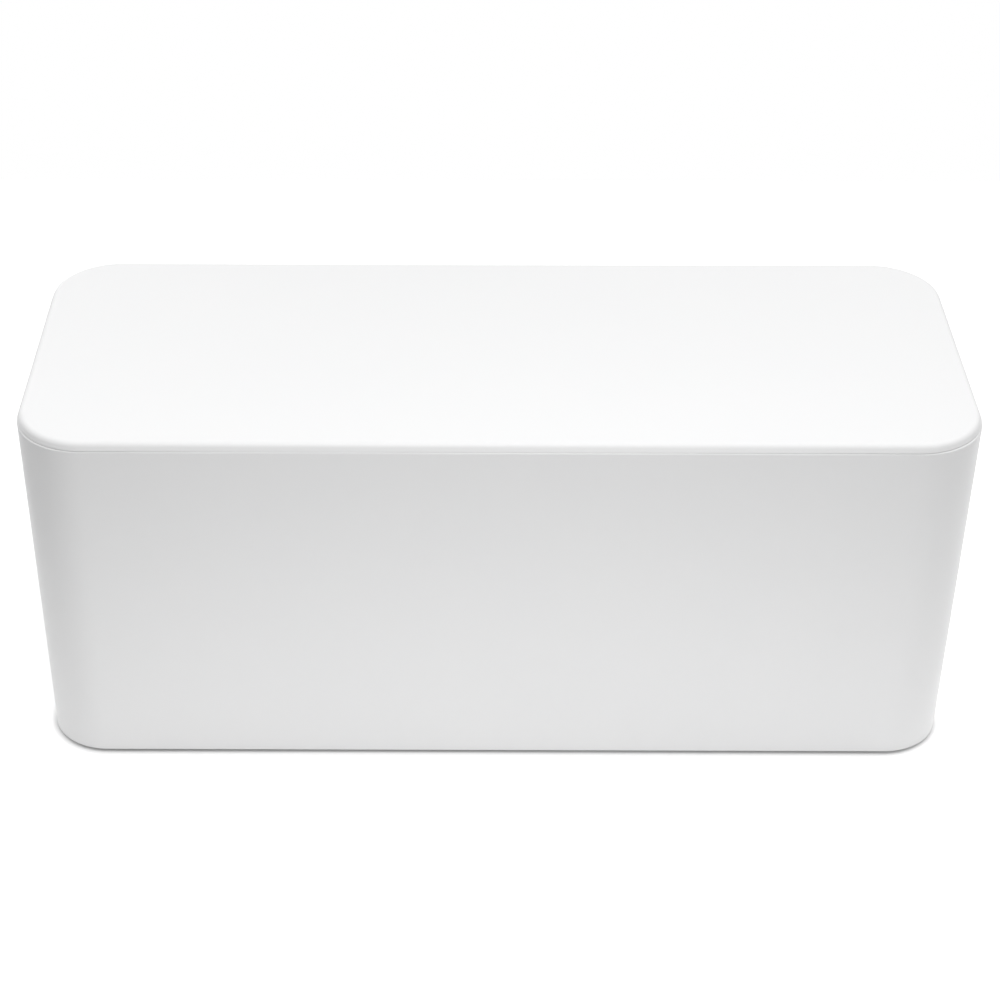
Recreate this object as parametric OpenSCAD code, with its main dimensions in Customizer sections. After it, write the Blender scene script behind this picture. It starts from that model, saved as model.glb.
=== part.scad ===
// Cable management box: a tapered tub on four rubber feet, with a flush lid that lifts off.
// A power strip lies in the tub, and its cables leave through a notch in each end wall, under the lid.
// X runs along the box, Y to its back and Z up. The origin is on the table, under the middle of the box.

/* [Box] */
// Length over the rim and the lid
box_length = 400; // [300:5:460]
// Depth over the rim and the lid, front to back
box_depth = 160; // [130:5:200]
// Height from the table to the top of the lid
box_height = 162; // [120:0.5:200]
// Plan radius of the upright corners, at the rim
corner_r = 28.5; // [22:0.5:38]
// Taper of the walls towards the floor, in degrees from upright
draft = 1; // [0.5:0.25:2]

/* [Tub] */
// Thickness of the walls
wall = 2.6; // [2.2:0.1:3.4]
// Thickness of the floor
floor_t = 2.8; // [2.4:0.1:4]
// Radius round the outside of the floor
base_r = 0.4; // [0.2:0.1:1.2]
// Radius between the floor and the walls, inside
floor_fillet = 5; // [3:0.5:8]
// Radius of the rim's two edges
rim_r = 0.8; // [0.3:0.1:1]

/* [Cable notches] */
// Width of the notch in each end wall
notch_w = 60; // [40:2:70]
// Depth of the notch below the rim
notch_d = 22; // [16:1:30]
// Radius of the notch's lower corners
notch_r = 8; // [4:0.5:12]
// Radius where the notch runs out into the rim
notch_lip_r = 1.5; // [0.5:0.25:2.5]
// Width of the stiffening collar round the notch, inside the wall
collar_w = 4; // [3:0.5:6]
// How far the collar stands in from the wall, at the rim
collar_t = 1.4; // [1:0.1:2]

/* [Lid] */
// Height of the lid's outer band, from the seam to the top
band_h = 3.2; // [3:0.1:8]
// Radius of the top edge
top_r = 2.4; // [1:0.1:2.6]
// Lean of the band's outer face, in degrees from upright
band_lean = 25; // [0:0.5:30]
// Radius of the band's lower edge, at the seam
band_r = 0.3; // [0.1:0.05:0.4]
// Thickness of the top plate
plate_t = 2.6; // [2.2:0.1:2.9]
// Radius between the top plate and the skirt, inside
plate_fillet = 1.2; // [0.6:0.1:2]
// Thickness of the skirt at its root
skirt_t = 1.8; // [1.5:0.1:2.4]
// How far the skirt reaches below the seam
skirt_h = 9; // [6.5:0.5:14]
// Lead-in chamfer on the skirt's lower outer edge
lead_in = 0.8; // [0.4:0.1:1]
// Thickness of the ribs under the top plate
rib_t = 1.4; // [1.2:0.1:2]
// Depth of the ribs under the top plate
rib_h = 3.2; // [2:0.1:5]
// Largest distance from one cross rib to the next
rib_pitch = 64; // [40:2:100]
// Distance from the skirt's cut ends to the middle of a long rib
long_rib_edge = 5; // [2:0.5:10]

/* [Feet] */
// Diameter of a foot
foot_d = 16; // [12:1:20]
// Thickness of a foot
foot_t = 2.5; // [2:0.1:3]
// How far the feet lift the tub off the table
foot_stand = 1.5; // [1:0.1:1.9]
// Radius of a foot's lower edge
foot_r = 0.5; // [0.2:0.1:0.6]
// Distance from the tub's sides to the middle of a foot, at the rim
foot_inset = 34; // [26:1:50]

/* [Fits] */
// Seam between the lid's band and the rim
seam_gap = 0.3; // [0.3:0.05:0.6]
// Gap between the skirt and the wall
skirt_gap = 0.4; // [0.3:0.05:0.8]
// Gap between the skirt's ends and the collar of the notch
notch_gap = 2; // [1:0.25:4]
// Gap round a foot in its recess
foot_gap = 0.3; // [0.1:0.05:0.5]

/* [Hidden] */
$fn = 96;
plastic = [0.93, 0.93, 0.93];
rubber = [0.55, 0.55, 0.55];
over = 1; // How far a cutting shape runs past the face that it cuts
bite = 0.0005; // How far an edge's arc bites into its two faces, so that they meet at a clean line

// Levels above the table
tub_z = foot_stand;
floor_z = tub_z + floor_t;
lid_z = box_height - band_h;
rim_z = lid_z - seam_gap;
plate_z = box_height - plate_t;
skirt_z = lid_z - skirt_h;
notch_z = rim_z - notch_d;

// Middles of the upright corners
corner_x = box_length / 2 - corner_r;
corner_y = box_depth / 2 - corner_r;
collar_half = notch_w / 2 + collar_w;
opening_half = collar_half + notch_gap;

// Faces of a wall section at a height z, as distances out from the corners' middles
function outer_u(z) = corner_r - (rim_z - z) * tan(draft);
function inner_u(z) = outer_u(z) - wall / cos(draft);
function skirt_outer_u(z) = inner_u(z) - skirt_gap;
function skirt_inner_u(z) = skirt_outer_u(lid_z) - skirt_t + (lid_z - z) * tan(draft);

// Outer face of the lid's band at a height z
function band_u(z) = corner_r - (z - lid_z) * tan(band_lean);

// An edge of radius r lies between a level face at a height and a face that leans out by an angle going up.
// Its middle is at a height z where that face is at a distance u, and it meets the face at the edge's end.
function edge_middle(u, z, r, lean) = [u - r / cos(lean), z];
function edge_end(middle, r, lean) = middle + r * [cos(lean), -sin(lean)];
module edge_arc(middle, r) {
    translate(middle) circle(r + bite);
}

// Carries a wall section round the box: x is the distance out from the corners' middles, y the height
module around_box() {
    for (side_x = [0, 1], side_y = [0, 1])
        mirror([side_x, 0, 0]) mirror([0, side_y, 0]) translate([corner_x, corner_y, 0])
            rotate_extrude(angle = 90) children();
    for (side = [0, 1]) {
        mirror([0, side, 0]) translate([-corner_x, corner_y, 0])
            rotate([90, 0, 90]) linear_extrude(2 * corner_x) children();
        mirror([side, 0, 0]) translate([corner_x, corner_y, 0])
            rotate([90, 0, 0]) linear_extrude(2 * corner_y) children();
    }
}

// Fills the middle of the box, between the corners' middles, from a height z up by t
module middle_slab(z, t) {
    translate([-corner_x, -corner_y, z]) cube([2 * corner_x, 2 * corner_y, t]);
}

// Section of the tub: half of its floor and one wall, with rounded rim and foot
module tub_section() {
    base = edge_middle(outer_u(tub_z + base_r), tub_z + base_r, base_r, draft);
    rim_out = edge_middle(outer_u(rim_z - rim_r), rim_z - rim_r, rim_r, draft);
    rim_in = edge_middle(inner_u(rim_z - rim_r), rim_z - rim_r, -rim_r, draft);
    bowl = edge_middle(inner_u(floor_z + floor_fillet), floor_z + floor_fillet, floor_fillet, draft);
    difference() {
        polygon([
            [0, tub_z],
            [base.x, tub_z],
            edge_end(base, base_r, draft),
            edge_end(rim_out, rim_r, draft),
            [rim_out.x, rim_z],
            [rim_in.x, rim_z],
            edge_end(rim_in, -rim_r, draft),
            edge_end(bowl, floor_fillet, draft),
            [bowl.x, floor_z],
            [0, floor_z],
        ]);
        edge_arc(bowl, floor_fillet);
    }
    edge_arc(base, base_r);
    edge_arc(rim_out, rim_r);
    edge_arc(rim_in, rim_r);
}

// Section of the lid: half of its plate, the outer band and the skirt that drops inside the rim
module lid_section() {
    top = edge_middle(band_u(box_height - top_r), box_height - top_r, top_r, -band_lean);
    band = edge_middle(band_u(lid_z + band_r), lid_z + band_r, band_r, -band_lean);
    root_z = plate_z - plate_fillet;
    root = edge_middle(skirt_inner_u(root_z), root_z, plate_fillet, -draft);
    difference() {
        polygon([
            [0, plate_z],
            [root.x, plate_z],
            edge_end(root, plate_fillet, -draft),
            [skirt_inner_u(skirt_z), skirt_z],
            [skirt_outer_u(skirt_z) - lead_in, skirt_z],
            [skirt_outer_u(skirt_z + lead_in), skirt_z + lead_in],
            [skirt_outer_u(lid_z), lid_z],
            [band.x, lid_z],
            edge_end(band, band_r, -band_lean),
            edge_end(top, top_r, -band_lean),
            [top.x, box_height],
            [0, box_height],
        ]);
        edge_arc(root, plate_fillet);
    }
    // The top edge's circle is larger than the band, so only the part of it round the edge is kept
    intersection() {
        edge_arc(top, top_r);
        translate(top - [top_r, top_r] / 8) square(2 * top_r);
    }
    edge_arc(band, band_r);
}

// Outline of the notch, seen along the box: x is across it, y the height
module notch_outline(half, z, r) {
    translate([-half, z + r]) square([2 * half, rim_z + over - z - r]);
    translate([r - half, z]) square([2 * (half - r), r + over]);
    for (side = [-1, 1]) translate([side * (half - r), z + r]) circle(r);
}

// The outline with its mouth run out into the rim
module notch_cut_outline() {
    notch_outline(notch_w / 2, notch_z, notch_r);
    for (side = [0, 1]) mirror([side, 0]) translate([notch_w / 2, rim_z - notch_lip_r])
        difference() {
            translate([-over, 0]) square([notch_lip_r + over, notch_lip_r + over]);
            translate([notch_lip_r, 0]) circle(notch_lip_r);
        }
}

// Places an outline seen along the box as a plate at the +X end, from a distance x out over a length t
module at_end(x, t) {
    translate([x, 0, 0]) rotate([90, 0, 90]) linear_extrude(t) children();
}

// Puts its child at both ends of the box
module both_ends() {
    for (side = [0, 1]) mirror([side, 0, 0]) children();
}

// Stiffening collar round a notch, on the wall's inner face and level with the skirt's lower edge
module notch_collar() {
    inner_x = corner_x + inner_u(rim_z);
    at_end(inner_x - collar_t, collar_t + wall / 2) intersection() {
        notch_outline(collar_half, notch_z - collar_w, notch_r + collar_w);
        translate([-collar_half, 0]) square([2 * collar_half, rim_z - rim_r]);
    }
}

// Where the feet stand, as [left or right, front or rear]
module foot_place(side_x, side_y) {
    translate([side_x * (box_length / 2 - foot_inset), side_y * (box_depth / 2 - foot_inset), 0]) children();
}

module tub() {
    color(plastic) difference() {
        union() {
            around_box() tub_section();
            middle_slab(tub_z, floor_t);
            both_ends() notch_collar();
        }
        both_ends() at_end(corner_x, corner_r + over) notch_cut_outline();
        for (side_x = [-1, 1], side_y = [-1, 1])
            foot_place(side_x, side_y)
                translate([0, 0, tub_z - over])
                    cylinder(h = foot_t - foot_stand + over, r = foot_d / 2 + foot_gap);
    }
}

// Ribs under the top plate, ending in the skirt
module lid_ribs() {
    reach_x = corner_x + skirt_inner_u(plate_z) + skirt_t / 4;
    reach_y = corner_y + skirt_inner_u(plate_z) + skirt_t / 4;
    bays = ceil(2 * corner_x / rib_pitch);
    pitch = 2 * corner_x / bays;
    for (i = [0:bays])
        translate([-corner_x + i * pitch - rib_t / 2, -reach_y, plate_z - rib_h])
            cube([rib_t, 2 * reach_y, rib_h + plate_t / 2]);
    for (side = [-1, 1])
        translate([-reach_x, side * (opening_half + long_rib_edge) - rib_t / 2, plate_z - rib_h])
            cube([2 * reach_x, rib_t, rib_h + plate_t / 2]);
}

module lid() {
    color(plastic) difference() {
        union() {
            around_box() lid_section();
            middle_slab(plate_z, plate_t);
            lid_ribs();
        }
        both_ends() translate([corner_x, -opening_half, skirt_z - over])
            cube([corner_r + over, 2 * opening_half, lid_z - skirt_z + over]);
    }
}

// Rubber foot: a disc that sits in its recess and stands on the table
module foot() {
    color(rubber) rotate_extrude() {
        polygon([
            [0, 0],
            [foot_d / 2 - foot_r, 0],
            [foot_d / 2, foot_r],
            [foot_d / 2, foot_t],
            [0, foot_t],
        ]);
        translate([foot_d / 2 - foot_r, foot_r]) circle(foot_r);
    }
}

tub();
lid();
foot_place(-1, -1) foot();  // foot_front_left
foot_place(1, -1) foot();  // foot_front_right
foot_place(-1, 1) foot();  // foot_rear_left
foot_place(1, 1) foot();  // foot_rear_right
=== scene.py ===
"""Dresses the cable management box: a tapered tub, its flush lift-off lid and four rubber feet.

Sizes are in millimetres, and meshes are scaled to metres when they are finished. The frame is the
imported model's: X runs along the box, Y to its back and Z up, with the origin on the table under
the middle of the box.
"""

from __future__ import annotations

import logging
import math
from collections.abc import Callable, Iterable, Sequence
from dataclasses import dataclass, field
from enum import Enum
from typing import Any, ClassVar

import bmesh
import bpy
from mathutils import Matrix, Vector
from mathutils.geometry import delaunay_2d_cdt


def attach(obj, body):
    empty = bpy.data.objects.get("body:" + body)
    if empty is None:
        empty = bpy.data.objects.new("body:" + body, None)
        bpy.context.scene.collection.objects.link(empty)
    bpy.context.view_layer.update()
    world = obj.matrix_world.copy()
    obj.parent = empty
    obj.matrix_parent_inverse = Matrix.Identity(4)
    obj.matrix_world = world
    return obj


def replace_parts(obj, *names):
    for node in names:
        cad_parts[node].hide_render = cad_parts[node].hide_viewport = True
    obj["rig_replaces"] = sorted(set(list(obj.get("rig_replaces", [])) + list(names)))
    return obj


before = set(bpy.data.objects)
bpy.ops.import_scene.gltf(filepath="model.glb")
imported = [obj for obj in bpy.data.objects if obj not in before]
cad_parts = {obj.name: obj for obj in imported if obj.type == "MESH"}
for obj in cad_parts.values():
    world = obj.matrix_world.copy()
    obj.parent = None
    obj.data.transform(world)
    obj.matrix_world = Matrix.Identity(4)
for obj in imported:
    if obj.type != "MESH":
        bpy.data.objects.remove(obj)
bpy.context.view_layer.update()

LOG = logging.getLogger("cable_box")

Point = tuple[float, float, float]
Flat = tuple[float, float]
Colour = tuple[float, float, float, float]
Row = list[bmesh.types.BMVert]

MM = 0.001
# Differences smaller than these are only rounding, in millimetres, and so are further digits.
TINY, SAME_PLACE, DIGITS = 1e-6, 1e-7, 4
# Vertices nearer each other than this are welded, in millimetres.
WELD = 1e-4
# Edges sharper than this stay sharp, in degrees.
SHARP_ANGLE = 32
# The middle of Blender's noise, and the sockets of its Mix node that take and give colours.
NOISE_MIDDLE = 0.5
MIX_SHARE, MIX_FIRST, MIX_SECOND, MIX_RESULT = 0, 6, 7, 2
BLACK: Colour = (0, 0, 0, 1)
WHITE: Colour = (1, 1, 1, 1)


class Body(Enum):
    """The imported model's bodies."""

    BOX = "box"
    LID = "lid"


class Slot(Enum):
    """The record's material slots."""

    PLASTIC = "white_plastic"
    RUBBER = "foot_rubber"


class Wall(Enum):
    """The box's four walls, each as the way out of it."""

    RIGHT = (1, 0)
    BACK = (0, 1)
    LEFT = (-1, 0)
    FRONT = (0, -1)

    @property
    def along(self) -> Flat:
        """The way along the wall, anticlockwise seen from above."""
        return (-self.value[1], self.value[0])

    @property
    def is_end(self) -> bool:
        """True for the two short walls, which have the cable notches."""
        return self.value[1] == 0


class Corner(Enum):
    """Where the feet stand, as the signs of X and Y."""

    FRONT_LEFT = (-1, -1)
    FRONT_RIGHT = (1, -1)
    REAR_LEFT = (-1, 1)
    REAR_RIGHT = (1, 1)


# --- Shader maths ---


class Socket:
    """A number that a node gives out. Operators on it add Math nodes."""

    def __init__(self, graph: Graph, raw: bpy.types.NodeSocket) -> None:
        """Wraps an output of a node that the graph holds."""
        self.graph = graph
        self.raw = raw

    def _math(self, operation: str, first: Socket | float, second: Socket | float) -> Socket:
        """The result of one Math node, which has Blender's name of its operation."""
        return self.graph.node("ShaderNodeMath", {"operation": operation}, {0: first, 1: second})[0]

    def __add__(self, other: Socket | float) -> Socket:
        """The sum."""
        return self._math("ADD", self, other)

    def __radd__(self, other: float) -> Socket:
        """The sum, with the number first."""
        return self._math("ADD", other, self)

    def __sub__(self, other: Socket | float) -> Socket:
        """The difference."""
        return self._math("SUBTRACT", self, other)

    def __rsub__(self, other: float) -> Socket:
        """The difference, with the number first."""
        return self._math("SUBTRACT", other, self)

    def __mul__(self, other: Socket | float) -> Socket:
        """The product."""
        return self._math("MULTIPLY", self, other)

    def __rmul__(self, other: float) -> Socket:
        """The product, with the number first."""
        return self._math("MULTIPLY", other, self)

    def at_least(self, other: Socket | float) -> Socket:
        """The larger of the two."""
        return self._math("MAXIMUM", self, other)


class Made:
    """A node that has been added. Its outputs are read by name or by place."""

    def __init__(self, graph: Graph, raw: bpy.types.Node) -> None:
        """Wraps a node that the graph holds."""
        self.graph = graph
        self.raw = raw

    def __getitem__(self, output: str | int) -> Socket:
        """One of the node's outputs."""
        return Socket(self.graph, self.raw.outputs[output])


class Graph:
    """The nodes of one material, or of the world."""

    def __init__(self, owner: bpy.types.Material | bpy.types.World) -> None:
        """Empties the owner's node tree, ready for new nodes.

        Args:
            owner: What the nodes belong to.
        """
        owner.use_nodes = True
        self.tree = owner.node_tree
        self.tree.nodes.clear()

    def node(
        self,
        kind: str,
        settings: dict[str, Any] | None = None,
        inputs: dict[str | int, Any] | None = None,
    ) -> Made:
        """Adds a node.

        Args:
            kind: Blender's name of the node type.
            settings: Properties of the node, which are set first.
            inputs: Numbers, colours or links for its inputs, by name or by place.

        Returns:
            The node.
        """
        raw = self.tree.nodes.new(kind)
        for name, value in (settings or {}).items():
            setattr(raw, name, value)
        for name, value in (inputs or {}).items():
            if isinstance(value, Socket):
                self.tree.links.new(value.raw, raw.inputs[name])
            else:
                raw.inputs[name].default_value = value
        return Made(self, raw)

    def noise(self, place: Socket, size: float, detail: float = 2.0) -> Socket:
        """Noise from 0 to 1 in blobs of a size in millimetres, with detail finer layers."""
        inputs = {"Vector": place, "Scale": 1 / (size * MM), "Detail": detail}
        return self.node("ShaderNodeTexNoise", None, inputs)[0]

    def blend(self, share: Socket, first: Colour, second: Colour) -> Socket:
        """Two colours mixed: the first at share 0, the second at share 1."""
        inputs = {MIX_SHARE: share, MIX_FIRST: first, MIX_SECOND: second}
        return self.node("ShaderNodeMix", {"data_type": "RGBA"}, inputs)[MIX_RESULT]

    def relief(self, height: Socket) -> Socket:
        """The way the surface faces once it is raised by a height in metres."""
        return self.node("ShaderNodeBump", None, {"Distance": 1.0, "Height": height})[0]


# --- Finishes ---


@dataclass(frozen=True)
class MouldedPlastic:
    """Satin white plastic, as it leaves a lightly spark-eroded mould."""

    slot: Slot = Slot.PLASTIC
    colour: Colour = (0.86, 0.86, 0.86, 1)
    cloud_colour: Colour = (0.848, 0.85, 0.854, 1)
    cloud_size: float = 55
    roughness: float = 0.34
    roughness_spread: float = 0.06
    sheen_size: float = 14
    grain_size: float = 0.5
    grain_depth: float = 0.012
    wave_size: float = 60
    wave_depth: float = 0.12
    ior: float = 1.49

    def make(self) -> bpy.types.Material:
        """Makes the material.

        Returns:
            The material.
        """
        material = bpy.data.materials.new(self.slot.value)
        graph = Graph(material)
        place = graph.node("ShaderNodeTexCoord")["Object"]
        clouds = graph.noise(place, self.cloud_size)
        sheen = graph.noise(place, self.sheen_size, detail=4)
        grain = graph.noise(place, self.grain_size)
        waves = graph.noise(place, self.wave_size, detail=0)
        height = grain * (self.grain_depth * MM) + waves * (self.wave_depth * MM)
        finish = {
            "Base Color": graph.blend(clouds, self.colour, self.cloud_colour),
            "Roughness": self.roughness + (sheen - NOISE_MIDDLE) * self.roughness_spread,
            "IOR": self.ior,
            "Normal": graph.relief(height),
        }
        plastic = graph.node("ShaderNodeBsdfPrincipled", None, finish)
        graph.node("ShaderNodeOutputMaterial", None, {"Surface": plastic[0]})
        return material


@dataclass(frozen=True)
class FootRubber:
    """Plain grey rubber, matt and slightly dusty."""

    slot: Slot = Slot.RUBBER
    colour: Colour = (0.3, 0.3, 0.31, 1)
    dust_colour: Colour = (0.36, 0.36, 0.365, 1)
    dust_size: float = 3
    dust_share: float = 0.5
    roughness: float = 0.78
    roughness_spread: float = 0.15
    grain_size: float = 0.35
    grain_depth: float = 0.03
    ior: float = 1.52

    def make(self) -> bpy.types.Material:
        """Makes the material.

        Returns:
            The material.
        """
        material = bpy.data.materials.new(self.slot.value)
        graph = Graph(material)
        place = graph.node("ShaderNodeTexCoord")["Object"]
        dust = graph.noise(place, self.dust_size, detail=5)
        grain = graph.noise(place, self.grain_size)
        height = grain * (self.grain_depth * MM)
        finish = {
            "Base Color": graph.blend(dust * self.dust_share, self.colour, self.dust_colour),
            "Roughness": self.roughness + (dust - NOISE_MIDDLE) * self.roughness_spread,
            "IOR": self.ior,
            "Normal": graph.relief(height),
        }
        rubber = graph.node("ShaderNodeBsdfPrincipled", None, finish)
        graph.node("ShaderNodeOutputMaterial", None, {"Surface": rubber[0]})
        return material


# --- Sizes that the pieces share ---


def arc(middle: Flat, radius: float, start: float, stop: float, steps: int) -> list[Flat]:
    """Points along an arc.

    Args:
        middle: The arc's middle.
        radius: Its radius.
        start: The angle of its first point, in degrees.
        stop: The angle of its last point, in degrees.
        steps: How many parts it has.

    Returns:
        The points, one more than the steps.
    """
    angles = (math.radians(start + (stop - start) * i / steps) for i in range(steps + 1))
    return [(middle[0] + radius * math.cos(a), middle[1] + radius * math.sin(a)) for a in angles]


def round_off(
    face_u: Callable[[float], float], z: float, radius: float, lean: float, turn: Flat, steps: int
) -> list[Flat]:
    """A round that runs smoothly into a leaning face.

    Args:
        face_u: Gives the face's distance out at a height.
        z: Height of the round's middle.
        radius: Its radius.
        lean: How far the face leans from upright, in degrees.
        turn: The angles of its first and last points, in degrees.
        steps: How many parts it has.

    Returns:
        Its points (u, z).
    """
    middle = (face_u(z) - radius / math.cos(math.radians(lean)), z)
    return arc(middle, radius, *turn, steps)


def spread(start: float, stop: float, largest: float) -> list[float]:
    """Even steps from one number to another.

    Args:
        start: The first number.
        stop: The last number.
        largest: The largest step that is allowed.

    Returns:
        The numbers, both ends included.
    """
    steps = max(1, math.ceil(abs(stop - start) / largest - TINY))
    return [start + (stop - start) * i / steps for i in range(steps + 1)]


@dataclass(frozen=True)
class BoxSizes:
    """Sizes of the whole box, and of the fits between its pieces."""

    length: float = 400
    depth: float = 160
    height: float = 162
    corner_r: float = 28.5
    draft: float = 1
    wall: float = 2.6
    foot_stand: float = 1.5
    foot_inset: float = 34
    band_h: float = 3.2
    seam_gap: float = 0.3
    skirt_gap: float = 0.4
    notch_w: float = 60
    notch_d: float = 22
    collar_w: float = 4
    notch_gap: float = 2

    @property
    def lid_z(self) -> float:
        """Height of the lid's lower edge."""
        return self.height - self.band_h

    @property
    def rim_z(self) -> float:
        """Height of the tub's rim."""
        return self.lid_z - self.seam_gap

    @property
    def corner_x(self) -> float:
        """Distance of the corners' middles from the middle of the box, along it."""
        return self.length / 2 - self.corner_r

    @property
    def corner_y(self) -> float:
        """Distance of the corners' middles from the middle of the box, across it."""
        return self.depth / 2 - self.corner_r

    @property
    def wall_across(self) -> float:
        """Thickness of a wall, measured level."""
        return self.wall / math.cos(math.radians(self.draft))

    def outer_u(self, z: float) -> float:
        """Distance of a wall's outer face from the corners' middles, at a height."""
        return self.corner_r - (self.rim_z - z) * math.tan(math.radians(self.draft))

    def inner_u(self, z: float) -> float:
        """Distance of a wall's inner face from the corners' middles, at a height."""
        return self.outer_u(z) - self.wall_across

    def foot_middle(self, corner: Corner) -> Flat:
        """Where a foot stands."""
        half_x, half_y = self.length / 2 - self.foot_inset, self.depth / 2 - self.foot_inset
        return (corner.value[0] * half_x, corner.value[1] * half_y)


@dataclass(frozen=True)
class Column:
    """An upright line on the walls."""

    root: Flat
    out: Flat
    wall: Wall | None
    along: float

    def at(self, u: float, z: float) -> Point:
        """The point at a distance u out from the root, at a height z."""
        return (self.root[0] + u * self.out[0], self.root[1] + u * self.out[1], z)

    def within(self, half: float) -> bool:
        """True if the column is on an end wall, nearer its middle than half."""
        return self.wall is not None and self.wall.is_end and abs(self.along) < half - TINY


@dataclass(frozen=True)
class Plan:
    """The plan of the box: four walls with round corners, parted into columns."""

    half_x: float
    half_y: float
    end_marks: Sequence[float]
    side_marks: Sequence[float]
    corner_steps: int = 24
    side_step: ClassVar[float] = 14.3

    @classmethod
    def of(cls, sizes: BoxSizes, end_marks: Sequence[float]) -> Plan:
        """The box's plan, with its ends parted at the marks and its long sides evenly."""
        side_marks = spread(-sizes.corner_x, sizes.corner_x, cls.side_step)
        return cls(sizes.corner_x, sizes.corner_y, end_marks, side_marks)

    def columns(self) -> list[Column]:
        """Makes the columns.

        Returns:
            The columns, anticlockwise seen from above, from the front end of the right-hand wall.
        """
        result = []
        for quarter, wall in enumerate(Wall):
            out, along = wall.value, wall.along
            middle = self.half_x if wall.is_end else self.half_y
            reach = self.half_y if wall.is_end else self.half_x
            for t in self.end_marks if wall.is_end else self.side_marks:
                root = (out[0] * middle + along[0] * t, out[1] * middle + along[1] * t)
                result.append(Column(root, out, wall, t))
            root = (out[0] * middle + along[0] * reach, out[1] * middle + along[1] * reach)
            turned = arc((0, 0), 1, 90 * quarter, 90 * (quarter + 1), self.corner_steps)
            result += [Column(root, turn, None, 0.0) for turn in turned[1:-1]]
        return result


# --- Meshes ---


def plan_place(vertex: Vector) -> Flat:
    """Where a vertex is in plan."""
    return (vertex.x, vertex.y)


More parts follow.
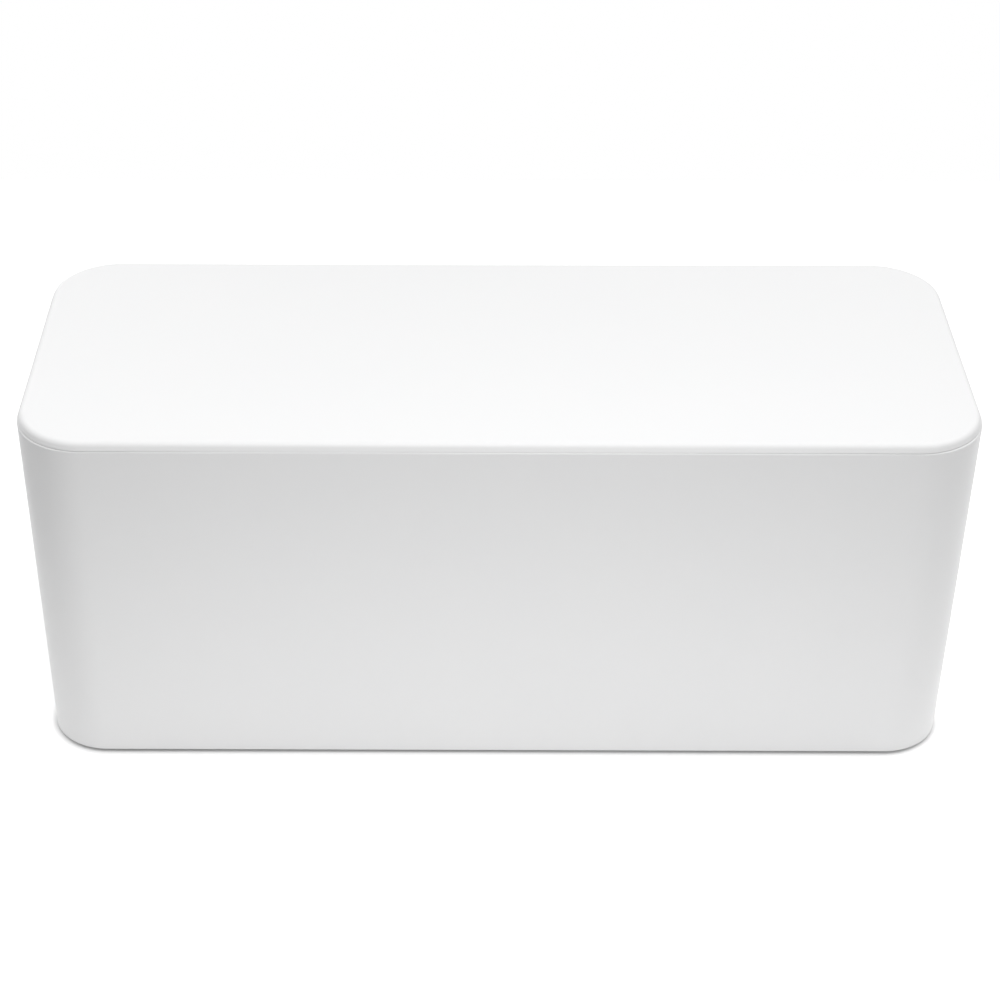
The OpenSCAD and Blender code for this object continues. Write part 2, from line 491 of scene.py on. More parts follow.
class Skin:
    """A closed skin in the making."""

    # How far the points inside a flat face stay from its edges, in pitches.
    edge_room: ClassVar[float] = 0.55

    def __init__(self) -> None:
        """Starts with an empty mesh."""
        self.mesh = bmesh.new()

    def row(self, points: Iterable[Point]) -> Row:
        """Adds points, and gives their vertices."""
        return [self.mesh.verts.new(point) for point in points]

    def face(self, *corners: bmesh.types.BMVert | None) -> None:
        """Adds a face, unless a corner is missing or fewer than three differ.

        Args:
            corners: Its corners in order, of which some may be the same.
        """
        distinct = list(dict.fromkeys(corners))
        if None not in distinct and len(distinct) > 2:
            self.mesh.faces.new(distinct)

    def bridge(self, first: Row, second: Row, closed: bool = True) -> None:
        """Joins two rows of the same length with faces.

        Args:
            first: One row.
            second: The other row.
            closed: True if the rows run all the way round.
        """
        count = len(first)
        for i in range(count if closed else count - 1):
            j = (i + 1) % count
            self.face(first[i], first[j], second[j], second[i])

    def sweep(
        self, columns: Sequence[Column], section: Callable[[Column], list[Flat | None]]
    ) -> list[Row]:
        """Carries a wall's section round the box.

        Args:
            columns: The columns of the box.
            section: Gives the section's points (u, z) at a column, with None where it has none.

        Returns:
            The rows of vertices, one for each point of the section.
        """
        sections = [section(column) for column in columns]
        rows = []
        for points in zip(*sections):
            row = [
                None if point is None else self.mesh.verts.new(column.at(*point))
                for column, point in zip(columns, points)
            ]
            rows.append(row)
        for first, second in zip(rows, rows[1:]):
            self.bridge(first, second)
        return rows

    def cap(self, plan: Plan, edge: Row, z: float, ring_u: Sequence[float]) -> None:
        """Closes a level face with quads, from an edge to the middle of the box.

        Args:
            plan: The plan that the edge follows.
            edge: The vertices round the edge.
            z: The face's height.
            ring_u: Distances out of the rings between the edge and the corners' middles.
        """

        def spot(x: float, y: float) -> Flat:
            """A place without its rounding."""
            return (round(x, DIGITS), round(y, DIGITS))

        columns = plan.columns()
        for u in ring_u:
            ring = self.row(column.at(u, z) for column in columns)
            self.bridge(edge, ring)
            edge = ring
        grid = {
            spot(x, y): self.mesh.verts.new((x, y, z))
            for x in plan.side_marks
            for y in plan.end_marks
        }
        self.bridge(edge, [grid[spot(*column.root)] for column in columns])
        for x0, x1 in zip(plan.side_marks, plan.side_marks[1:]):
            for y0, y1 in zip(plan.end_marks, plan.end_marks[1:]):
                corners = [(x0, y0), (x1, y0), (x1, y1), (x0, y1)]
                self.face(*(grid[spot(*corner)] for corner in corners))

    def fill(
        self,
        outline: Row,
        holes: Sequence[Row],
        flatten: Callable[[Vector], Flat],
        lift: Callable[[Flat], Point],
        pitch: float,
    ) -> None:
        """Fills a flat face that has holes, with even triangles.

        Args:
            outline: The vertices round it.
            holes: The vertices round each hole.
            flatten: Gives a vertex's place on the face.
            lift: Gives the point of a place on the face.
            pitch: Distance between the points that are added inside.
        """
        loops = [outline, *holes]
        known = [vertex for loop in loops for vertex in loop]
        flat_loops = [[flatten(vertex.co) for vertex in loop] for loop in loops]
        places = [place for loop in flat_loops for place in loop]
        edges, first = [], 0
        for loop in loops:
            edges += [(first + i, first + (i + 1) % len(loop)) for i in range(len(loop))]
            first += len(loop)
        seeds = self._seeds(flat_loops, places, pitch)
        found = delaunay_2d_cdt([Vector(p) for p in places + seeds], edges, [], 0, SAME_PLACE)
        spots, _, triangles, sources = found[:4]
        known += [self.mesh.verts.new(lift(seed)) for seed in seeds]
        for triangle in triangles:
            middle = sum((spots[i] for i in triangle), Vector((0, 0))) / 3
            if self._inside(tuple(middle), flat_loops):
                self.face(*(known[sources[i][0]] for i in triangle))

    @staticmethod
    def _inside(place: Flat, loops: Sequence[Sequence[Flat]]) -> bool:
        """Tells if a place is on the face.

        Args:
            place: The place.
            loops: The outline and the holes.

        Returns:
            True if a line from the place crosses the loops an odd number of times.
        """
        x, y = place
        odd = False
        for loop in loops:
            for (ax, ay), (bx, by) in zip(loop, [*loop[1:], loop[0]]):
                if (ay > y) != (by > y) and x < (bx - ax) * (y - ay) / (by - ay) + ax:
                    odd = not odd
        return odd

    def _seeds(
        self, loops: Sequence[Sequence[Flat]], edge: Sequence[Flat], pitch: float
    ) -> list[Flat]:
        """Lays an even grid of points on a face, clear of its edges.

        Args:
            loops: The outline and the holes.
            edge: All their points.
            pitch: Distance between the points.

        Returns:
            The points.
        """
        clear = (self.edge_room * pitch) ** 2
        low = [min(place[i] for place in edge) for i in (0, 1)]
        high = [max(place[i] for place in edge) for i in (0, 1)]
        result = []
        for x in spread(low[0], high[0], pitch)[1:-1]:
            for y in spread(low[1], high[1], pitch)[1:-1]:
                far = all((x - ex) ** 2 + (y - ey) ** 2 > clear for ex, ey in edge)
                if far and self._inside((x, y), loops):
                    result.append((x, y))
        return result

    def turned(self, middle: Flat, rows: Sequence[Flat], steps: int) -> Row:
        """Adds a turned face round an upright line, shut by one flat face at its last ring.

        Args:
            middle: Where the line stands.
            rows: Radius and height of each ring.
            steps: How many parts a ring has.

        Returns:
            The first ring.
        """
        rings = []
        for radius, z in rows:
            round_points = arc(middle, radius, 0, 360, steps)[:-1]
            rings.append(self.row((x, y, z) for x, y in round_points))
        for first, second in zip(rings, rings[1:]):
            self.bridge(first, second)
        self.face(*rings[-1])
        return rings[0]

    def finish(self, name: str) -> bpy.types.Object:
        """Turns the skin into an object in metres, smooth but for its sharp edges.

        Args:
            name: The object's name.

        Returns:
            The object.
        """
        bmesh.ops.remove_doubles(self.mesh, verts=self.mesh.verts, dist=WELD)
        bmesh.ops.dissolve_degenerate(self.mesh, edges=self.mesh.edges, dist=WELD)
        bmesh.ops.recalc_face_normals(self.mesh, faces=self.mesh.faces)
        bmesh.ops.scale(self.mesh, verts=self.mesh.verts, vec=Vector((MM, MM, MM)))
        open_edges = sum(1 for edge in self.mesh.edges if not edge.is_manifold)
        data = bpy.data.meshes.new(name)
        self.mesh.to_mesh(data)
        self.mesh.free()
        piece = bpy.data.objects.new(name, data)
        bpy.context.scene.collection.objects.link(piece)
        soften(piece)
        LOG.info("%s: %d faces, %d open edges", name, len(data.polygons), open_edges)
        return piece


def soften(piece: bpy.types.Object) -> None:
    """Shades a piece smooth, with its flat faces flat and its sharp edges sharp.

    Args:
        piece: The piece.
    """
    piece.data.shade_smooth()
    piece.data.set_sharp_from_angle(angle=math.radians(SHARP_ANGLE))
    if "flat faces" not in piece.modifiers:
        modifier = piece.modifiers.new("flat faces", "WEIGHTED_NORMAL")
        modifier.keep_sharp = True


def dress(
    piece: bpy.types.Object, material: bpy.types.Material, slot: Slot, body: Body, node: str
) -> None:
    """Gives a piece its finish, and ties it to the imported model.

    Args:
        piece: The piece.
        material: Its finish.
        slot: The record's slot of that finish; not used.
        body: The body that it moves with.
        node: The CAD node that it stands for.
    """
    piece.data.materials.clear()
    piece.data.materials.append(material)
    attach(piece, body.value)
    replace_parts(piece, node)


# --- Tub ---


@dataclass(frozen=True)
class EdgePoint:
    """A point of the rim's line where it dips through a notch, seen along the box."""

    place: Flat
    way: Flat
    collar: float
    foot: Flat | None

    def mirrored(self) -> EdgePoint:
        """The same point on the other side of the notch's middle.

        Returns:
            The point.
        """
        foot = None if self.foot is None else (-self.foot[0], self.foot[1])
        place, way = (-self.place[0], self.place[1]), (-self.way[0], self.way[1])
        return EdgePoint(place, way, self.collar, foot)


@dataclass
class Tub:
    """The open box: one moulding with a floor, tapered walls and a notch in each end."""

    sizes: BoxSizes
    floor_t: float = 2.8
    base_r: float = 0.4
    base_steps: int = 4
    floor_fillet: float = 5
    fillet_steps: int = 10
    wall_step: float = 20
    floor_pitch: float = 12
    rim_r: float = 0.8
    rim_steps: int = 6
    notch_r: float = 8
    notch_lip_r: float = 1.5
    notch_steps: int = 12
    lip_steps: int = 8
    rim_step: float = 5
    side_step: float = 4
    sill_step: float = 8
    collar_t: float = 1.4
    collar_foot: float = 0.3
    # The collar's rows: share of the way from the rim to the collar's foot, and of its thickness.
    collar_rows: Sequence[Flat] = (
        *((0.45, 1), (0.84, 1), (0.89, 0.96), (0.925, 0.84)),
        *((0.945, 0.66), (0.955, 0.25), (0.975, 0.06), (1, 0)),
    )
    shoulder_bend: float = 30
    bend_steps: int = 4
    panel_half: float = 45
    panel_z: float = 122
    panel_step: float = 10
    panel_pitch: float = 8
    recess_r: float = 8.3
    # Rows of the recesses (how much wider, and how deep), the gate mark and the pin marks (radius
    # and depth).
    recess_rows: Sequence[Flat] = ((0.2, 0), (0.06, 0.06), (0, 0.2), (0, 1), (-2, 1))
    recess_steps: int = 48
    gate_rows: Sequence[Flat] = (
        *((6.4, 0), (6.1, 0.1), (5.7, 0.5)),
        *((1.5, 0.5), (1.35, 0.3), (0.9, 0.22)),
    )
    pin_rows: Sequence[Flat] = ((4.0, 0), (3.93, 0.12))
    pins_x: Sequence[float] = (-150, -50, 50, 150)
    pins_y: Sequence[float] = (-40, 40)
    mark_steps: int = 32
    plan: Plan = field(init=False)

    def __post_init__(self) -> None:
        """Parts the walls into columns."""
        sizes = self.sizes
        inner = spread(-self.panel_half, self.panel_half, self.panel_step)
        self.plan = Plan.of(sizes, [-sizes.corner_y, *inner, sizes.corner_y])

    @property
    def base_z(self) -> float:
        """Height of the underside."""
        return self.sizes.foot_stand

    @property
    def floor_z(self) -> float:
        """Height of the floor's upper face."""
        return self.base_z + self.floor_t

    @property
    def notch_z(self) -> float:
        """Height of the notches' lower edge."""
        return self.sizes.rim_z - self.sizes.notch_d

    def rim_section(self, collar: float = 0.0, z: float | None = None) -> list[Flat]:
        """The rounded edge of the wall, from its outer face over to its inner face.

        Args:
            collar: How much of the notch's collar the wall has here, from 0 to 1.
            z: Height at which the collar's thickness is taken.

        Returns:
            Points, each as the distance back from the edge and the depth in from the outer face.
        """
        thickness = self.sizes.wall_across
        if z is not None:
            collar_face = self.sizes.inner_u(self.sizes.rim_z) - self.collar_t
            thickness += collar * (self.sizes.inner_u(z) - collar_face)
        r = self.rim_r
        outer = arc((r, r), r, 270, 180, self.rim_steps)
        inner = arc((r, thickness - r), r, 180, 90, self.rim_steps)
        return [*outer, *inner]

    def lower_section(self) -> list[Flat]:
        """Section of the outside below the notches.

        Returns:
            Its points (u, z), over the base's edge and up the wall.
        """
        draft, face_u, z = self.sizes.draft, self.sizes.outer_u, self.base_z + self.base_r
        edge = round_off(face_u, z, self.base_r, draft, (-90, -draft), self.base_steps)
        return edge + [(face_u(h), h) for h in spread(z, self.panel_z, self.wall_step)[1:]]

    def bowl_section(self) -> list[Flat]:
        """Section of the inside below the notches.

        Returns:
            Its points (u, z), down the wall and round into the floor.
        """
        draft, face_u, z = self.sizes.draft, self.sizes.inner_u, self.floor_z + self.floor_fillet
        wall = [(face_u(h), h) for h in spread(self.panel_z, z, self.wall_step)[:-1]]
        turn = (-draft, -90)
        return wall + round_off(face_u, z, self.floor_fillet, draft, turn, self.fillet_steps)

    def section(self, column: Column) -> list[Flat | None]:
        """Section of the whole wall at a column.

        Args:
            column: The column.

        Returns:
            Its points (u, z), from the underside over the rim to the floor, with None in the
            notch's panel.
        """
        rim_z = self.sizes.rim_z
        rim = [
            (self.sizes.outer_u(rim_z - back) - depth, rim_z - back)
            for back, depth in self.rim_section()
        ]
        upper = [None] * len(rim) if column.within(self.panel_half) else rim
        return [*self.lower_section(), *upper, *self.bowl_section()]

    def notch_half(self) -> list[EdgePoint]:
        """The rim's line from beside a notch down to the notch's middle.

        Returns:
            Its points.
        """
        rim_z, half = self.sizes.rim_z, self.sizes.notch_w / 2
        lip, r = self.notch_lip_r, self.notch_r
        width = self.sizes.collar_w + self.collar_foot
        shoulder = width - lip
        shoulder_middle = (half + lip, rim_z - self.rim_r - shoulder)
        edge = spread(self.panel_half, half + lip, self.rim_step)[1:-1]
        line = [EdgePoint((t, rim_z), (0, 1), 0, None) for t in edge]
        lip_places = arc((half + lip, rim_z - lip), lip, 90, 180, self.lip_steps)
        lip_feet = arc(shoulder_middle, shoulder, 90, self.shoulder_bend, self.lip_steps)
        for i, (t, z) in enumerate(lip_places):
            way = ((t - half - lip) / lip, (z - rim_z + lip) / lip)
            share = i / self.lip_steps
            line.append(EdgePoint((t, z), way, share * share * (3 - 2 * share), lip_feet[i]))
        drop = (rim_z - lip - shoulder_middle[1]) / self.bend_steps
        bend = arc(shoulder_middle, shoulder, self.shoulder_bend, 0, self.bend_steps)
        for i in range(1, self.bend_steps + 1):
            line.append(EdgePoint((half, rim_z - lip - i * drop), (-1, 0), 1, bend[i]))
        for z in spread(shoulder_middle[1], self.notch_z + r, self.side_step)[1:-1]:
            line.append(EdgePoint((half, z), (-1, 0), 1, (half + width, z)))
        middle = (half - r, self.notch_z + r)
        places, feet = (arc(middle, radius, 0, -90, self.notch_steps) for radius in (r, r + width))
        for (t, z), foot in zip(places, feet):
            line.append(EdgePoint((t, z), ((middle[0] - t) / r, (middle[1] - z) / r), 1, foot))
        for t in spread(half - r, 0, self.sill_step)[1:]:
            line.append(EdgePoint((t, self.notch_z), (0, 1), 1, (t, self.notch_z - width)))
        return line

    def notch_line(self) -> list[EdgePoint]:
        """The rim's line through a whole notch, in the order of the columns."""
        half = self.notch_half()
        return [point.mirrored() for point in half] + half[-2::-1]

    def build_panel(
        self, skin: Skin, columns: Sequence[Column], rows: Sequence[Row], wall: Wall
    ) -> None:
        """Closes the gap in an end wall with the part that has the notch.

        Args:
            skin: The tub's skin.
            columns: All the columns.
            rows: The rows of the swept wall.
            wall: Which end.
        """
        sizes = self.sizes
        reach = self.panel_half + TINY
        here = [i for i, c in enumerate(columns) if c.wall is wall and abs(c.along) <= reach]
        first, last = here[0], here[-1]
        side = wall.value[0]

        def lift_at(t: float, z: float, u: float) -> Point:
            """The point on this end at t along it, at a height z and a distance u out."""
            return (side * (sizes.corner_x + u), side * t, z)

        line = self.notch_line()
        rim_start = len(self.lower_section())
        rim_count = len(self.rim_section())
        sections = [self.rim_section(p.collar, p.place[1]) for p in line]
        rim_rows = []
        for k in range(rim_count):
            points = []
            for point, section in zip(line, sections):
                back, depth = section[k]
                t = point.place[0] - point.way[0] * back
                z = point.place[1] - point.way[1] * back
                points.append(lift_at(t, z, sizes.outer_u(z) - depth))
            ring = rows[rim_start + k]
            rim_rows.append([ring[first], *skin.row(points), ring[last]])
        for lower, upper in zip(rim_rows, rim_rows[1:]):
            skin.bridge(lower, upper, closed=False)

        edge = rim_rows[-1]
        strip = self.build_collar(skin, line, edge[1:-1], lift_at)
        inner_top = [edge[0], *strip, edge[-1]]
        outer_bottom = [rows[rim_start - 1][i] for i in here]
        inner_bottom = [rows[rim_start + rim_count][i] for i in here]
        for bottom, top, face_u in (
            (outer_bottom, rim_rows[0], sizes.outer_u),
            (inner_bottom, inner_top, sizes.inner_u),
        ):
            skin.fill(
                [*bottom, *reversed(top)],
                [],
                lambda co: (side * co.y, co.z),
                lambda place, face_u=face_u: lift_at(*place, face_u(place[1])),
                self.panel_pitch,
            )

    def build_collar(
        self,
        skin: Skin,
        line: Sequence[EdgePoint],
        edge: Row,
        lift_at: Callable[[float, float, float], Point],
    ) -> Row:
        """Adds the stiffening collar round a notch, inside the wall.

        Args:
            skin: The tub's skin.
            line: The rim's line through the notch.
            edge: The vertices where the rim's round ends inside, one for each point of the line.
            lift_at: Gives a point of this end.

        Returns:
            The vertices where the collar meets the wall, and the edge's own beside it.
        """
        sizes = self.sizes
        collar_face = sizes.inner_u(sizes.rim_z) - self.collar_t
        held = [i for i, point in enumerate(line) if point.foot is not None]
        rows = [[edge[i] for i in held]]
        for share, stand in self.collar_rows:
            row = []
            for i in held:
                point = line[i]
                if point.collar == 0:
                    row.append(edge[i])
                    continue
                t0 = point.place[0] - point.way[0] * self.rim_r
                z0 = point.place[1] - point.way[1] * self.rim_r
                t = t0 + (point.foot[0] - t0) * share
                z = z0 + (point.foot[1] - z0) * share
                wall_u = sizes.inner_u(z)
                u = wall_u - point.collar * stand * (wall_u - collar_face)
                row += skin.row([lift_at(t, z, u)])
            rows.append(row)
        for first, second in zip(rows, rows[1:]):
            skin.bridge(first, second, closed=False)
        before, after = edge[: held[0]], edge[held[-1] + 1 :]
        return [*before, *rows[-1], *after]

    def build(self, plastic: bpy.types.Material) -> bpy.types.Object:
        """Builds the tub and dresses it.

        Args:
            plastic: Its material.

        Returns:
            The tub.
        """
        skin = Skin()
        columns = self.plan.columns()
        rows = skin.sweep(columns, self.section)
        for wall in (Wall.RIGHT, Wall.LEFT):
            self.build_panel(skin, columns, rows, wall)

        base_z, floor_z = self.base_z, self.floor_z
        recess = [(self.recess_r + wider, base_z + deep) for wider, deep in self.recess_rows]
        gate = [(r, base_z + deep) for r, deep in self.gate_rows]
        pin = [(r, floor_z - deep) for r, deep in self.pin_rows]
        feet = [self.sizes.foot_middle(corner) for corner in Corner]
        under = [skin.turned(place, recess, self.recess_steps) for place in feet]
        under.append(skin.turned((0, 0), gate, self.mark_steps))
        pin_places = [(x, y) for y in self.pins_y for x in self.pins_x]
        inside = [skin.turned(place, pin, self.mark_steps) for place in pin_places]
        for outline, holes, z in ((rows[0], under, base_z), (rows[-1], inside, floor_z)):
            skin.fill(outline, holes, plan_place, lambda p, z=z: (*p, z), self.floor_pitch)
        piece = skin.finish("tub_shell")
        dress(piece, plastic, Slot.PLASTIC, Body.BOX, "tub")
        return piece


# --- Lid ---


@dataclass
class Lid:
    """The flush lid: a plate with an outer band, a skirt that drops inside the rim, and ribs."""

    sizes: BoxSizes
    top_r: float = 3
    top_steps: int = 10
    top_rings: Sequence[float] = (18, 9)
    band_lean: float = 25
    band_r: float = 0.1
    band_steps: int = 4
    plate_t: float = 2.6
    plate_fillet: float = 1.2
    fillet_steps: int = 5
    plate_pitch: float = 14
    skirt_t: float = 1.8
    skirt_h: float = 9
    skirt_edge: float = 0.4
    skirt_end_r: float = 3
    skirt_end_lean: float = 0.4
    skirt_end_steps: int = 6
    lead_in: float = 0.8
    end_step: float = 12
    rib_t: float = 1.4
    rib_h: float = 3.2
    rib_pitch: float = 64
    rib_edge: float = 0.3
    rib_edge_steps: int = 3
    # Points of a rib's root: how much wider, and how far above the plate's underside.
    rib_root: Sequence[Flat] = ((0.8, 0.9), (0.8, 0.16), (0.25, -0.22), (0, -0.8))
    rib_sink: float = 0.45
    long_rib_edge: float = 5
    sag: float = 0.27
    bow: float = 0.35
    hold: float = 4
    corner_ease: float = 1.3
    pin_rows: Sequence[Flat] = ((3.0, 0), (2.94, 0.1))
    pins_y: Sequence[float] = (-26, 26)
    pin_steps: int = 24
    plan: Plan = field(init=False)

    def __post_init__(self) -> None:
        """Parts the band and the skirt into columns."""
        sizes = self.sizes
        cut = self.skirt_cut
        bend = cut + self.skirt_end_lean
        turn = arc((0, 0), self.skirt_end_r, 0, 90, self.skirt_end_steps)
        right = [cut, *(bend + self.skirt_end_r - t for t, _ in turn), sizes.corner_y]
        between = spread(-cut, cut, self.end_step)[1:-1]
        marks = [-t for t in reversed(right)] + between + right
        self.plan = Plan.of(sizes, marks)

    @property
    def skirt_cut(self) -> float:
        """Half the width over which the skirt is left out at each end, over the notch's collar."""
        return self.sizes.notch_w / 2 + self.sizes.collar_w + self.sizes.notch_gap

    @property
    def plate_z(self) -> float:
        """Height of the plate's underside."""
        return self.sizes.height - self.plate_t

    def band_u(self, z: float) -> float:
        """Distance of the band's outer face from the corners' middles, at a height."""
        return self.sizes.corner_r - (z - self.sizes.lid_z) * math.tan(math.radians(self.band_lean))

    def skirt_outer_u(self, z: float) -> float:
        """Distance of the skirt's outer face from the corners' middles, at a height."""
        return self.sizes.inner_u(z) - self.sizes.skirt_gap

    def skirt_inner_u(self, z: float) -> float:
        """Distance of the skirt's inner face from the corners' middles, at a height."""
        root = self.skirt_outer_u(self.sizes.lid_z) - self.skirt_t
        return root + (self.sizes.lid_z - z) * math.tan(math.radians(self.sizes.draft))

    def skirt_bottom(self, column: Column) -> float:
        """Height of the skirt's lower edge at a column.

        Args:
            column: The column.

        Returns:
            The height, which is the band's own where the skirt is left out.
        """
        lid_z = self.sizes.lid_z
        if column.wall is None or not column.wall.is_end:
            return lid_z - self.skirt_h
        past = abs(column.along) - self.skirt_cut - self.skirt_end_lean
        if past < -TINY:
            return lid_z
        left = min(max(self.skirt_end_r - past, 0.0), self.skirt_end_r)
        return lid_z - self.skirt_h + self.skirt_end_r - math.sqrt(self.skirt_end_r**2 - left**2)

    def section(self, column: Column) -> list[Flat | None]:
        """Section of the lid at a column.

        Args:
            column: The column.

        Returns:
            Its points (u, z), from the top over the band and the skirt to the plate's underside.
        """
        sizes, lean = self.sizes, self.band_lean
        top_z, band_z = sizes.height - self.top_r, sizes.lid_z + self.band_r
        top = round_off(self.band_u, top_z, self.top_r, lean, (90, lean), self.top_steps)
        band = round_off(self.band_u, band_z, self.band_r, lean, (lean, -90), self.band_steps)
        bottom = self.skirt_bottom(column)
        deep = sizes.lid_z - bottom
        lead, edge = min(self.lead_in, deep), min(self.skirt_edge, deep)
        skirt = [
            (self.skirt_outer_u(sizes.lid_z), sizes.lid_z),
            (self.skirt_outer_u(bottom + lead), bottom + lead),
            (self.skirt_outer_u(bottom) - lead, bottom),
            (self.skirt_inner_u(bottom) + edge, bottom),
            (self.skirt_inner_u(bottom + edge), bottom + edge),
        ]
        draft, r = sizes.draft, self.plate_fillet
        root_z, turn = self.plate_z - r, (draft, 90)
        root = round_off(self.skirt_inner_u, root_z, r, draft, turn, self.fillet_steps)
        return [*top, *band, *skirt, *((u, max(z, bottom)) for u, z in root)]

    def rib_section(self) -> list[Flat]:
        """Section of a rib, whose root is flared.

        Returns:
            Its points, each as the distance to the side of the rib's middle, and the height.
        """
        half, edge = self.rib_t / 2, self.rib_edge
        low = self.plate_z - self.rib_h
        root = [(half + wider, self.plate_z + up) for wider, up in self.rib_root]
        side = root + arc((half - edge, low + edge), edge, 0, -90, self.rib_edge_steps)
        return side + [(-t, z) for t, z in reversed(side)]

    def build_ribs(self) -> list[bpy.types.Object]:
        """Builds the ribs, each a closed bar that ends in the skirt.

        Returns:
            The bars.
        """
        sizes = self.sizes
        out = self.skirt_inner_u(self.plate_z) + self.rib_sink
        reach_x, reach_y = sizes.corner_x + out, sizes.corner_y + out
        long_y = self.skirt_cut + self.long_rib_edge
        bars = [
            [(x, -reach_y), (x, reach_y)]
            for x in spread(-sizes.corner_x, sizes.corner_x, self.rib_pitch)
        ]
        bars += [[(reach_x, y), (-reach_x, y)] for y in (-long_y, long_y)]
        made = []
        for number, (start, stop) in enumerate(bars):
            skin = Skin()
            across_x = start[0] == stop[0]
            shape = self.rib_section()
            ends = [
                skin.row((x + t, y, z) if across_x else (x, y + t, z) for t, z in shape)
                for x, y in (start, stop)
            ]
            skin.bridge(*ends)
            for end in ends:
                skin.face(*end)
            made.append(skin.finish(f"rib_{number}"))
        return made

    def join_ribs(self, shell: bpy.types.Object, ribs: Sequence[bpy.types.Object]) -> None:
        """Makes the shell and its ribs one skin.

        Args:
            shell: The lid's shell.
            ribs: The bars, which are used up.
        """
        shell.modifiers.clear()
        for rib in ribs:
            rib.modifiers.clear()
            union = shell.modifiers.new(rib.name, "BOOLEAN")
            union.operation, union.solver, union.object = "UNION", "EXACT", rib
            graph = bpy.context.evaluated_depsgraph_get()
            joined = bpy.data.meshes.new_from_object(shell.evaluated_get(graph))
            shell.modifiers.clear()
            spent, shell.data = shell.data, joined
            bpy.data.meshes.remove(spent)
            bpy.data.objects.remove(rib)

    def settle(self, piece: bpy.types.Object) -> None:
        """Gives the lid the small ways in which a moulding strays from its drawing.

        It hangs and draws in a little between its corners, so that its seam shows at the corners
        alone, and its corners shrink back a little from the rim.

        Args:
            piece: The lid.
        """
        sizes = self.sizes
        half_x, half_y = sizes.length / 2 * MM, sizes.depth / 2 * MM
        for vertex in piece.data.vertices:
            place = vertex.co
            out = Vector((abs(place.x) - sizes.corner_x * MM, abs(place.y) - sizes.corner_y * MM))
            if min(out) > 0:
                way = out.normalized()
                ease = self.corner_ease * MM * (sum(way) - 1) * out.length / (sizes.corner_r * MM)
                inward = way * ease
                place.x -= math.copysign(inward.x, place.x)
                place.y -= math.copysign(inward.y, place.y)
            free = 1 - min(1.0, abs(place.x) / half_x) ** self.hold
            place.z -= self.sag * MM * free
            place.y -= self.bow * MM * free * place.y / half_y

    def build(self, plastic: bpy.types.Material) -> bpy.types.Object:
        """Builds the lid and dresses it.

        Args:
            plastic: Its material.

        Returns:
            The lid.
        """
        skin = Skin()
        columns = self.plan.columns()
        rows = skin.sweep(columns, self.section)
        skin.cap(self.plan, rows[0], self.sizes.height, self.top_rings)
        bays = spread(-self.sizes.corner_x, self.sizes.corner_x, self.rib_pitch)
        middles = [(a + b) / 2 for a, b in zip(bays, bays[1:])]
        pin = [(r, self.plate_z + deep) for r, deep in self.pin_rows]
        pins = [skin.turned((x, y), pin, self.pin_steps) for x in middles for y in self.pins_y]
        skin.fill(rows[-1], pins, plan_place, lambda p: (*p, self.plate_z), self.plate_pitch)
        piece = skin.finish("lid_shell")
        self.join_ribs(piece, self.build_ribs())
        self.settle(piece)
        soften(piece)
        dress(piece, plastic, Slot.PLASTIC, Body.LID, "lid")
        return piece


# --- Feet ---


@dataclass
class Foot:
    """A self-adhesive rubber foot: a disc with a round lower edge and a shallow dish underneath."""

    sizes: BoxSizes
    radius: float = 8
    thickness: float = 2.5
    edge_r: float = 0.5
    edge_steps: int = 6
    top_edge: float = 0.12
    top_flat: float = 2
    # Rows of the dish: radius and height.
    dish_rows: Sequence[Flat] = ((4.3, 0.15), (4.75, 0.1125), (5.2, 0))
    steps: int = 64

    def build(self, corner: Corner, rubber: bpy.types.Material) -> bpy.types.Object:
        """Builds a foot and dresses it.

        Args:
            corner: Where it stands.
            rubber: Its material.

        Returns:
            The foot.
        """
        skin = Skin()
        edge_middle = (self.radius - self.edge_r, self.edge_r)
        rows = [
            *self.dish_rows,
            *arc(edge_middle, self.edge_r, -90, 0, self.edge_steps),
            (self.radius, self.thickness - self.top_edge),
            (self.radius - self.top_edge, self.thickness),
            (self.radius - self.top_flat, self.thickness),
        ]
        first = skin.turned(self.sizes.foot_middle(corner), rows, self.steps)
        skin.face(*first)
        name = corner.name.lower()
        piece = skin.finish(f"rubber_foot_{name}")
        dress(piece, rubber, Slot.RUBBER, Body.BOX, f"foot_{name}")
        return piece


# --- Studio ---


def hang(lamp: bpy.types.Light, place: Point, way: Vector, mirrored: bool = True) -> None:
    """Hangs a lamp, which the camera doesn't see.

    Args:
        lamp: The lamp.
        place: Where it hangs.
        way: The way it shines.
        mirrored: True if it shows in reflections.
    """
    holder = bpy.data.objects.new(lamp.name, lamp)
    holder.location = place
    holder.visible_camera, holder.visible_glossy = False, mirrored
    holder.rotation_euler = way.to_track_quat("-Z", "Y").to_euler()
    bpy.context.scene.collection.objects.link(holder)


@dataclass(frozen=True)
class SoftBox:
    """A soft rectangular lamp that faces a point. Only a mirrored one shows in reflections."""

    name: str
    place: Point
    aim: Point
    size: Flat
    power: float
    mirrored: bool = True

    def light(self) -> None:
        """Makes the lamp and hangs it."""
        lamp = bpy.data.lights.new(self.name, "AREA")
        lamp.shape, lamp.size, lamp.size_y = "RECTANGLE", *self.size
        lamp.energy = self.power
        hang(lamp, self.place, Vector(self.aim) - Vector(self.place), self.mirrored)


@dataclass(frozen=True)
class Sky:
    """A broad patch of far light. Its bearing is anticlockwise from the box's right, in degrees."""

    name: str
    bearing: float
    height: float
    power: float
    width: float = 70

    def light(self) -> None:
        """Makes the patch and hangs it."""
        lamp = bpy.data.lights.new(self.name, "SUN")
        lamp.energy, lamp.angle = self.power, math.radians(self.width)
        bearing, height = math.radians(self.bearing), math.radians(self.height)
        level = math.cos(height)
        source = Vector((level * math.cos(bearing), level * math.sin(bearing), math.sin(height)))
        hang(lamp, tuple(source), -source)


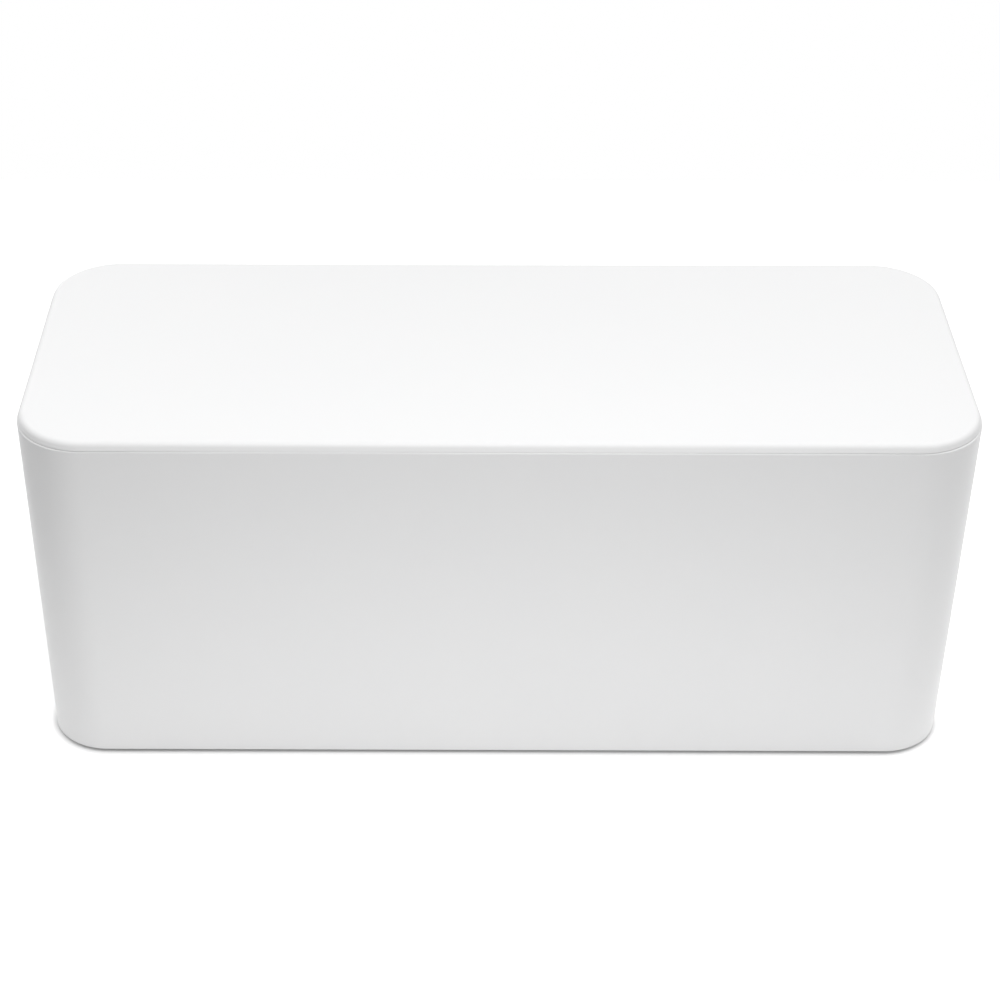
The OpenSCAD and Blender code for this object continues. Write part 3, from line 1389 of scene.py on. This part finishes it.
@dataclass
class Studio:
    """A white sheet under soft lamps, and the camera. Places are in metres."""

    sheet_left: float = -0.33
    sheet_right: float = 0.5
    sheet_front: float = -0.27
    sheet_back: float = 0.5
    sheet_colour: Colour = (0.92, 0.92, 0.92, 1)
    sheet_glow: float = 0.4
    # Painted shade on the sheet near the box: how far its ambient occlusion reaches, the colour it
    # darkens to, and its samples.
    painted_shade_reach: float = 0.004
    painted_shade_colour: Colour = (0.6, 0.6, 0.6, 1)
    painted_shade_samples: int = 8
    daylight: float = 0.22
    lamps: Sequence[SoftBox | Sky] = (
        Sky("right_sky", 0, 60, 1.13),
        Sky("left_sky", 180, 60, 0.72),
        Sky("back_right_sky", 45, 45, 0.53),
        Sky("back_left_sky", 135, 20, 0.59),
        SoftBox("front_key", (0, -0.7, 0.5), (0, 0, 0.1), (0.6, 0.45), 0.82, False),
        SoftBox("front_fill", (0.1, -0.5, 0.3), (0.1, 0, 0.08), (0.16, 0.12), 0.13),
        SoftBox("front_canopy", (0, -0.25, 0.6), (0, -0.25, 0), (0.25, 0.2), 0.31),
        SoftBox("low_strip", (0, -0.24, 0.09), (0, -0.08, 0.08), (0.45, 0.05), 0.06),
    )
    lens: float = 85.79
    sensor: float = 36
    pitch: float = 33.366
    yaw: float = 0.227
    roll: float = 0.041
    camera_place: Point = (-0.017, -0.8964, 0.6734)
    shift_x: float = 0.05

    def seen_directly(self, graph: Graph) -> Socket:
        """Tells the camera's own rays and mirrored ones from those that carry light.

        Args:
            graph: The graph that needs to know.

        Returns:
            1 where the camera or a mirror sees the surface, and 0 where it lights others.
        """
        path = graph.node("ShaderNodeLightPath")
        through = path["Is Glossy Ray"].at_least(path["Is Transmission Ray"])
        return path["Is Camera Ray"].at_least(through)

    def lay_sheet(self) -> None:
        """Lays the white sheet under the box, with painted shade where the box nearly touches it:
        ambient occlusion darkens its colour and dims its glow.
        """
        left, right = self.sheet_left, self.sheet_right
        front, back = self.sheet_front, self.sheet_back
        corners = [(left, front, 0), (right, front, 0), (right, back, 0), (left, back, 0)]
        data = bpy.data.meshes.new("white_sheet")
        data.from_pydata(corners, [], [(0, 1, 2, 3)])
        sheet = bpy.data.objects.new("white_sheet", data)
        bpy.context.scene.collection.objects.link(sheet)
        material = bpy.data.materials.new("white_paper")
        graph = Graph(material)
        samples, reach = {"samples": self.painted_shade_samples}, {"Distance": self.painted_shade_reach}
        # Painted shade: ambient occlusion of the box darkens the sheet's colour towards the shade
        # colour where the box is close.
        clear = graph.node("ShaderNodeAmbientOcclusion", samples, reach)["AO"]
        colour = graph.blend(clear, self.painted_shade_colour, self.sheet_colour)
        matt = graph.node("ShaderNodeBsdfDiffuse", None, {"Color": colour})
        # Painted shade: the glow that whitens the sheet fades near the box by the square of the
        # ambient occlusion.
        light = graph.blend(self.seen_directly(graph) * clear * clear, BLACK, WHITE)
        glow = graph.node("ShaderNodeEmission", None, {"Color": light, "Strength": self.sheet_glow})
        both = graph.node("ShaderNodeAddShader", None, {0: matt[0], 1: glow[0]})
        graph.node("ShaderNodeOutputMaterial", None, {"Surface": both[0]})
        data.materials.append(material)

    def light(self) -> None:
        """Hangs the lamps and sets the light from all round, which shows as white."""
        for lamp in self.lamps:
            lamp.light()
        world = bpy.data.worlds.new("studio")
        bpy.context.scene.world = world
        graph = Graph(world)
        strength = self.seen_directly(graph) * (1 - self.daylight) + self.daylight
        shine = {"Color": WHITE, "Strength": strength}
        background = graph.node("ShaderNodeBackground", None, shine)
        graph.node("ShaderNodeOutputWorld", None, {"Surface": background[0]})

    def set_camera(self) -> None:
        """Stands the camera in front of the box, looking down at it."""
        pitch, yaw, roll = (math.radians(a) for a in (self.pitch, self.yaw, self.roll))
        turn = Matrix.Rotation(yaw, 3, "Z")
        right = turn @ Vector((1, 0, 0))
        ahead = turn @ Vector((0, math.cos(pitch), -math.sin(pitch)))
        up = turn @ Vector((0, math.sin(pitch), math.cos(pitch)))
        level = math.cos(roll) * right + math.sin(roll) * up
        upright = math.cos(roll) * up - math.sin(roll) * right
        stance = Matrix((level, upright, -ahead)).transposed().to_4x4()
        stance.translation = Vector(self.camera_place)
        data = bpy.data.cameras.new("camera")
        data.sensor_width, data.lens, data.shift_x = self.sensor, self.lens, self.shift_x
        camera = bpy.data.objects.new("camera", data)
        camera.matrix_world = stance
        bpy.context.scene.collection.objects.link(camera)
        bpy.context.scene.camera = camera

    def build(self) -> None:
        """Builds the whole studio."""
        bpy.context.scene.view_settings.view_transform = "Standard"
        self.lay_sheet()
        self.light()
        self.set_camera()


def main() -> None:
    """Builds the studio and the box."""
    logging.basicConfig(level=logging.INFO, format="%(name)s: %(message)s")
    Studio().build()
    sizes = BoxSizes()
    plastic, rubber = MouldedPlastic().make(), FootRubber().make()
    pieces = [Tub(sizes).build(plastic), Lid(sizes).build(plastic)]
    pieces += [Foot(sizes).build(corner, rubber) for corner in Corner]
    for piece in pieces:
        LOG.info("%s stands for %s", piece.name, ", ".join(piece["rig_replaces"]))


if __name__ == "__main__":
    main()
